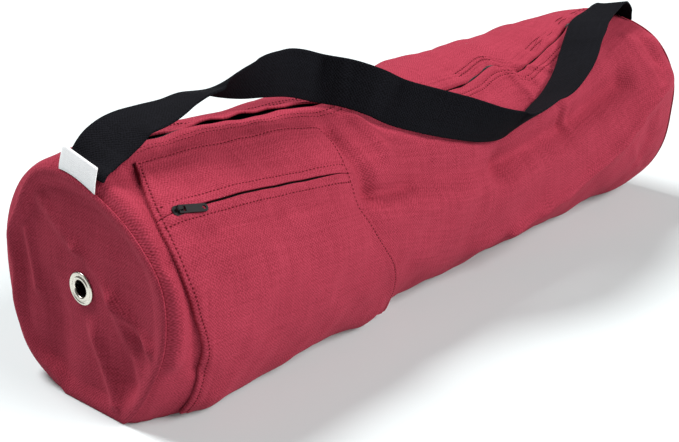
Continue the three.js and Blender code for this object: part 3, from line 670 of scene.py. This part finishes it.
hole_radius = eyelet_bore / 2 + hole_clearance
out = np.concatenate([np.linspace(0, rim_share, 60), [0.975, 0.985, 0.993, 1.0]])[:, None]
turn = np.linspace(0, 1, 201)[None, :-1]
rim_round = rim_round_depth * smooth((out - 0.975) / 0.025)
for name, side, hole in (("near_end_panel", -1, hole_radius), ("far_end_panel", 1, 0)):
    outer = panel_points(side, out, turn, rim_round, hole)
    inner = panel_points(side, out, turn, canvas_thickness, hole)
    mesh = sheet_mesh(name, outer, inner, outer[..., 1:], around=True, tip=hole == 0)
    piece(name, mesh, canvas, "canvas", "near_end" if side < 0 else "far_end")

# Main zip: a black woven tape behind the opening, with a ridge under its coil. The coil is a row
# of black teeth in the gap, set along the zip's line.
tape_thickness = 1.2
tape_clearance = 0.6
tape_end = 5
tape_half = 13
ridge_height = 0.8
zip_tape = fabric_material("zip_tape", (0.004, 0.004, 0.005), (0.02, 0.02, 0.024), 0.75, 0.1, 1.0, 0.4)
at = np.linspace(tape_end / bag_length, 1 - tape_end / bag_length, 160)[:, None]
off = np.array([-tape_half, -2.2, -1.6, 0, 1.6, 2.2, tape_half])[None, :]
rise = np.where(np.abs(off) < 2, ridge_height, 0)
tape_uv = np.stack(np.broadcast_arrays(at * bag_length, off + 0.0), axis=-1)
tape_angle = zip_line(at) + np.degrees(off / end_radius)
outer = skin(at, tape_angle, -canvas_thickness - tape_clearance + rise)
inner = skin(at, tape_angle, -canvas_thickness - tape_clearance - tape_thickness)
piece("main_zip_tape", sheet_mesh("main_zip_tape", outer, inner, tape_uv), zip_tape, "zip_tape", "main_zip")
coil = strand_material("zip_coil", (0.003, 0.003, 0.0035), (0.011, 0.011, 0.013), 0.45, 0.5)
tooth_spacing = 1.5
tooth_size = (0.9, 4.2, 1.3)
coil_end = 6
coil_rise = 0.25
at = np.linspace(coil_end / bag_length, 1 - coil_end / bag_length, 300)
lines = [(skin(at, zip_line(at), -canvas_thickness + coil_rise), outward(zip_line(at)))]
beaded("main_zip_coil", lines, tooth_spacing, tooth_size, coil, "zip_tape")

# Pocket: a band above its zip and a larger sheet below, laid on the body and topstitched at the
# sides, the top and on both sides of its zip.
pocket_top_angle = 14
pocket_zip_angle = 43.5
pocket_bottom_angle = 140
pocket_sides = table("angle near far", [
    (14, 0.056, 0.31), (40, 0.03, 0.3), (62, 0.022, 0.304), (80, 0.029, 0.322), (102, 0.044, 0.356),
    (140, 0.046, 0.386),
])


def pocket_place(across, angle):
    """Share of the length and the slumped angle of a place on the pocket."""
    near, far = read(pocket_sides, "near", angle), read(pocket_sides, "far", angle)
    at = near + (far - near) * across
    grip = 1 - smooth((angle - pocket_top_angle) / (pocket_bottom_angle - pocket_top_angle))
    return at, angle + grip * read(sections, "turn", at)


def pocket_gap(across):
    """Half the opening between the band and the sheet, closed at both ends of the zip."""
    open_share = smooth((across - 0.03) / 0.2) * smooth((0.985 - across) / 0.25)
    return 0.25 + 0.8 * open_share


pocket_length = 0.26 * bag_length
pocket_row = 3
pocket_zip_row = 7
pocket_lift = 0.4
pocket_hem_height = 1.3
pocket_hem_width = 5
pocket_stitch_rise = 0.15
pocket_free_lift = 1.3
pocket_sag = 1.6
pocket_sag_place = 15
pocket_belly = 2.6
pocket_belly_angle = 74


def pocket_surface(across, angle):
    """Height of the pocket cloth's underside, extra thickness of its hems, distance to its edges."""
    side_gap = np.minimum(across, 1 - across) * pocket_length
    above = arc(angle - pocket_top_angle)
    below = arc(pocket_bottom_angle - angle)
    below_zip = arc(angle - pocket_zip_angle)
    to_zip = np.abs(below_zip)
    free = smooth(side_gap / 14) * smooth(above / 12) * smooth(below / 16)
    over_tape = smooth(side_gap / 8) * (1 - smooth((to_zip - 10) / 8))
    sag = -pocket_sag * smooth(side_gap / 20) * np.exp(-((below_zip - pocket_sag_place) / 7)**2)
    belly = pocket_belly * smooth(side_gap / 40) * np.exp(-((angle - pocket_belly_angle) / 16)**2)
    to_edge = np.minimum(side_gap, above)
    hem = pocket_hem_height * (1 - smooth((np.minimum(to_edge, to_zip) - pocket_hem_width) / hem_step))
    dips = stitch_dip(to_edge, (pocket_row,)) + stitch_dip(to_zip, (pocket_zip_row,))
    to_rim = np.minimum(to_edge, np.minimum(below, to_zip - 0.2))
    return pocket_lift + pocket_free_lift * free + over_tape + sag + belly, hem + dips, to_rim


def pocket_sheet(name, top, bottom, count):
    """One cloth of the pocket between two angles, thinner at its edges."""
    across = spread(70, pocket_length)[:, None]
    down = spread(count, arc(bottom - top))[None, :]
    half = np.degrees(pocket_gap(across) / end_radius)
    start = top + (half if top == pocket_zip_angle else 0)
    end = bottom - (half if bottom == pocket_zip_angle else 0)
    angle = start + (end - start) * down
    at, slumped = pocket_place(across, angle)
    lift, hem, soft = pocket_surface(across, angle)
    edge = 0.5 * (1 - np.clip(soft / 0.8, 0, 1))**2
    outer = skin(at, slumped, lift + canvas_thickness + hem - edge)
    inner = skin(at, slumped, lift + edge)
    uv = np.stack(np.broadcast_arrays(at * bag_length, arc(angle - pocket_top_angle)), axis=-1)
    return sheet_mesh(name, outer, inner, uv)


mesh = pocket_sheet("pocket_band", pocket_top_angle, pocket_zip_angle, 22)
piece("pocket_top_band", mesh, canvas, "canvas", "pocket_band")
mesh = pocket_sheet("pocket_panel", pocket_zip_angle, pocket_bottom_angle, 66)
piece("pocket_sheet", mesh, canvas, "canvas", "pocket_panel")
row_share = pocket_row / pocket_length
row_degrees = np.degrees(pocket_row / end_radius)
zip_degrees = np.degrees(pocket_zip_row / end_radius)
lines = []
for from_across, from_angle, to_across, to_angle in (
        (row_share, pocket_top_angle + row_degrees, 1 - row_share, pocket_top_angle + row_degrees),
        (row_share, pocket_zip_angle - zip_degrees, 1 - row_share, pocket_zip_angle - zip_degrees),
        (row_share, pocket_zip_angle + zip_degrees, 1 - row_share, pocket_zip_angle + zip_degrees),
        (row_share, pocket_top_angle + row_degrees, row_share, pocket_bottom_angle - 2),
        (1 - row_share, pocket_top_angle + row_degrees, 1 - row_share, pocket_bottom_angle - 2)):
    across, angle = np.linspace(from_across, to_across, 90), np.linspace(from_angle, to_angle, 90)
    at, slumped = pocket_place(across, angle)
    lift, hem, _ = pocket_surface(across, angle)
    lines.append((skin(at, slumped, lift + canvas_thickness + hem + pocket_stitch_rise), outward(slumped)))
beaded("pocket_stitches", lines, stitch_spacing, stitch_size, thread, "canvas")

# Pocket zip: a narrow black tape under the gap between band and sheet, with a row of teeth on it
# like the main zip's.
pocket_tape_half = 9
pocket_tape_top = 1.0
pocket_tape_bottom = 0.3
pocket_coil_rise = 1.5
across = np.linspace(0.04, 0.96, 70)[:, None]
off = np.array([-pocket_tape_half, 0, pocket_tape_half])[None, :]
at, slumped = pocket_place(across, pocket_zip_angle + np.degrees(off / end_radius))
outer = skin(at, slumped, pocket_tape_top)
inner = skin(at, slumped, pocket_tape_bottom)
tape_uv = np.stack(np.broadcast_arrays(at * bag_length, off + 0.0), axis=-1)
mesh = sheet_mesh("pocket_zip_tape", outer, inner, tape_uv)
piece("pocket_zip_tape", mesh, zip_tape, "zip_tape", "pocket_zip")
at, slumped = pocket_place(np.linspace(0.05, 0.95, 90), pocket_zip_angle)
lines = [(skin(at, slumped, pocket_coil_rise), outward(slumped))]
beaded("pocket_zip_coil", lines, tooth_spacing, tooth_size, coil, "zip_tape")

# Strap: black webbing sewn into both end seams, that turns on edge over the bag, leans on the
# pocket side and turns back.
webbing_width = 38
webbing_thickness = 2
webbing_edge = 1.0
strap_route = table("at angle lift dip", [
    (0.0055, -4, 0.022, 12), (0.011, -3, 0.11, 28), (0.024, -2, 0.2, 32), (0.044, -2, 0.25, 26),
    (0.067, -2.5, 0.28, 14), (0.097, -2.2, 0.29, 8), (0.13, -2.2, 0.28, -5), (0.156, -1.6, 0.28, -11),
    (0.182, -1.3, 0.26, -20), (0.205, 1, 0.21, -42), (0.232, 3.8, 0.185, -60), (0.267, 7, 0.165, -78),
    (0.302, 8, 0.11, -90), (0.335, 12, 0.06, -102), (0.358, 20.7, 0.05, -105), (0.379, 29, 0.045, -102),
    (0.403, 37, 0.045, -99), (0.435, 46, 0.04, -94), (0.477, 54, 0.04, -80), (0.532, 61, 0.04, -60),
    (0.576, 63, 0.04, -48), (0.612, 59, 0.04, -34), (0.648, 54, 0.04, -24), (0.683, 50, 0.04, -18),
    (0.73, 42, 0.045, -12), (0.785, 30, 0.055, -5), (0.82, 22, 0.065, -3), (0.86, 14, 0.06, -6),
    (0.9, 8, 0.05, -10), (0.94, 4, 0.055, -14), (0.97, 2, 0.07, -12), (0.985, 1.5, 0.07, 0),
    (0.9945, 1.3, 0.027, 11),
])
strap_steps = 420
edge_line = skin(strap_route["at"], strap_route["angle"], strap_route["lift"] * end_radius)


def through(points, count):
    """Evenly numbered points of a smooth curve through the points (centripetal)."""
    padded = np.vstack([2 * points[0] - points[1], points, 2 * points[-1] - points[-2]])
    places = []
    for u in np.linspace(0, len(points) - 1, count):
        i = min(int(u), len(points) - 2)
        t = u - i
        p0, p1, p2, p3 = padded[i:i + 4]
        d0, d1, d2 = (max(np.linalg.norm(b - a), 1e-4)**0.5 for a, b in ((p0, p1), (p1, p2), (p2, p3)))
        m1 = ((p1 - p0) / d0 - (p2 - p0) / (d0 + d1) + (p2 - p1) / d1) * d1
        m2 = ((p2 - p1) / d1 - (p3 - p1) / (d1 + d2) + (p3 - p2) / d2) * d1
        a, b = 2 * p1 - 2 * p2 + m1 + m2, -3 * p1 + 3 * p2 - 2 * m1 - m2
        places.append(((a * t + b) * t + m1) * t + p1)
    return np.array(places)


back_edge = through(edge_line, strap_steps + 1)
tangent = np.gradient(back_edge, axis=0)
tangent /= np.linalg.norm(tangent, axis=1)[:, None]
row_number = table("step dip", np.stack([np.arange(len(edge_line)), strap_route["dip"]], axis=1))
dip = np.radians(read(row_number, "dip", np.linspace(0, len(edge_line) - 1, strap_steps + 1)))
width = np.stack([np.zeros_like(dip), -np.cos(dip), -np.sin(dip)], axis=1)
width -= tangent * np.sum(width * tangent, axis=1)[:, None]
width /= np.linalg.norm(width, axis=1)[:, None]
thick = np.cross(width, tangent)
run = np.concatenate([[0], np.cumsum(np.linalg.norm(np.diff(back_edge, axis=0), axis=1))])
share = spread(20, webbing_width, (0.15, 0.5, 1.1))
from_edge = np.minimum(share, 1 - share) * webbing_width / webbing_edge
edge_round = np.sqrt(np.clip(1 - (1 - np.clip(from_edge, 0, 1))**2, 0.02, 1))
middle = back_edge[:, None, :] + width[:, None, :] * (share * webbing_width)[None, :, None]
half = thick[:, None, :] * (edge_round * webbing_thickness / 2)[None, :, None]
strap_uv = np.stack(np.broadcast_arrays(run[:, None], (share * webbing_width)[None, :]), axis=-1)
webbing = fabric_material("black_webbing", (0.0012, 0.0012, 0.0016), (0.0085, 0.0088, 0.012),
                          0.85, 0.05, 1.3, 0.6, gloss=0.05)
mesh = sheet_mesh("webbing_strap", middle + half, middle - half, strap_uv)
piece("webbing_strap", mesh, webbing, "webbing", "strap")

# Label: a folded white woven tag sewn into the near seam in front of the strap. One upper corner is
# rounded, and it is left bare.
label_width = 38
label_height = 17.5
label_corner = 4
label_angle = 6
label_lean = 4
label_thickness = 0.8
label_white = fabric_material("white_tag", (0.66, 0.67, 0.68), (0.86, 0.86, 0.87),
                              0.8, 0.2, 0.7, 0.3, patch=0.1)
u = spread(34, label_width, (0.4, 1.2, 2.4))[:, None]
v = np.linspace(0, 1, 12)[None, :]
short = np.maximum(0, label_corner - u * label_width)
drop = label_corner - np.sqrt(np.maximum(0, label_corner**2 - short**2))
ends = np.degrees(label_width / 2 / end_radius)
foot = skin(0.0, label_angle + (u * 2 - 1) * ends, 0.4)
left, right = skin(0.0, label_angle + np.array([-1, 1]) * ends, 0.4)
top = left + (right - left) * u[..., None] + np.array([0, 0, label_height])
top = top - np.array([0, 0, 1]) * drop[..., None]
points = foot + (top - foot) * v[..., None]
front = points.copy()
front[..., 0] = -(bag_length / 2 + canvas_thickness) + 0.1 + label_lean * v**1.5
back = front.copy()
back[..., 0] += label_thickness
uv = np.stack(np.broadcast_arrays(u * label_width, v * label_height), axis=-1)
piece("bare_tag", sheet_mesh("bare_tag", front, back, uv), label_white, "label_tape", "label")

# Metal: the nickel eyelet is turned from its profile and sits in the near panel. The sliders and
# the pull keep their CAD solids and get a black lacquer.
def metal_material(name, colour, roughness, metallic):
    """Plated or lacquered metal, with fine scuffs in its gloss."""
    material = simple_material(name, colour, roughness)
    tree = material.node_tree
    shader = tree.nodes["Principled BSDF"]
    shader.inputs["Metallic"].default_value = metallic
    where = tree.nodes.new("ShaderNodeTexCoord")
    scuff = tree.nodes.new("ShaderNodeTexNoise")
    scuff.inputs["Scale"].default_value = 900
    scuff.inputs["Detail"].default_value = 4
    tree.links.new(where.outputs["Object"], scuff.inputs["Vector"])
    level = tree.nodes.new("ShaderNodeMapRange")
    level.inputs["To Min"].default_value = roughness * 0.7
    level.inputs["To Max"].default_value = min(1, roughness * 1.5)
    tree.links.new(scuff.outputs["Fac"], level.inputs["Value"])
    tree.links.new(level.outputs["Result"], shader.inputs["Roughness"])
    return material


nickel = metal_material("nickel_plate", (0.7, 0.66, 0.58), 0.24, 1.0)
eyelet_seat = bag_length / 2 + canvas_thickness - panel_recess
ring = table("radius height", [
    (6.5, -3.05), (6.5, 0.9), (6.7, 1.45), (7.2, 1.9), (7.9, 2.05), (8.6, 1.9), (9.2, 1.45),
    (9.6, 1.15), (10.1, 1.15), (10.6, 1.5), (11.2, 1.75), (11.8, 1.65), (12.3, 1.3), (12.5, 0.9),
    (12.4, 0.6), (12.0, 0.45), (7.1, 0.45), (7.1, -2.05), (11.3, -2.05), (11.3, -2.7), (10.9, -3.05),
])
ring_turn = np.linspace(0, 2 * np.pi, 97)[None, :-1]
ring_points = np.stack(np.broadcast_arrays(
    -eyelet_seat - ring["height"][:, None], eyelet_across + ring["radius"][:, None] * np.sin(ring_turn),
    eyelet_height + ring["radius"][:, None] * np.cos(ring_turn)), axis=-1)
rows, columns = ring_points.shape[:2]
faces = [(i * columns + j, (i + 1) % rows * columns + j, (i + 1) % rows * columns + (j + 1) % columns,
          i * columns + (j + 1) % columns) for i in range(rows) for j in range(columns)]
mesh = bpy.data.meshes.new("vent_grommet")
mesh.from_pydata(((ring_points.reshape(-1, 3) + bag_shift) * 0.001).tolist(), [], faces)
mesh.polygons.foreach_set("use_smooth", [True] * len(faces))
piece("vent_grommet", mesh, nickel, "nickel", "grommet")
black_metal = metal_material("black_lacquer", (0.002, 0.002, 0.0025), 0.42, 0.0)
black_metal.node_tree.nodes["Principled BSDF"].inputs["Specular IOR Level"].default_value = 0.3
for name in ("main_slider", "pocket_slider", "pocket_pull"):
    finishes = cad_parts[name].data.materials
    finishes.clear()
    finishes.append(black_metal)
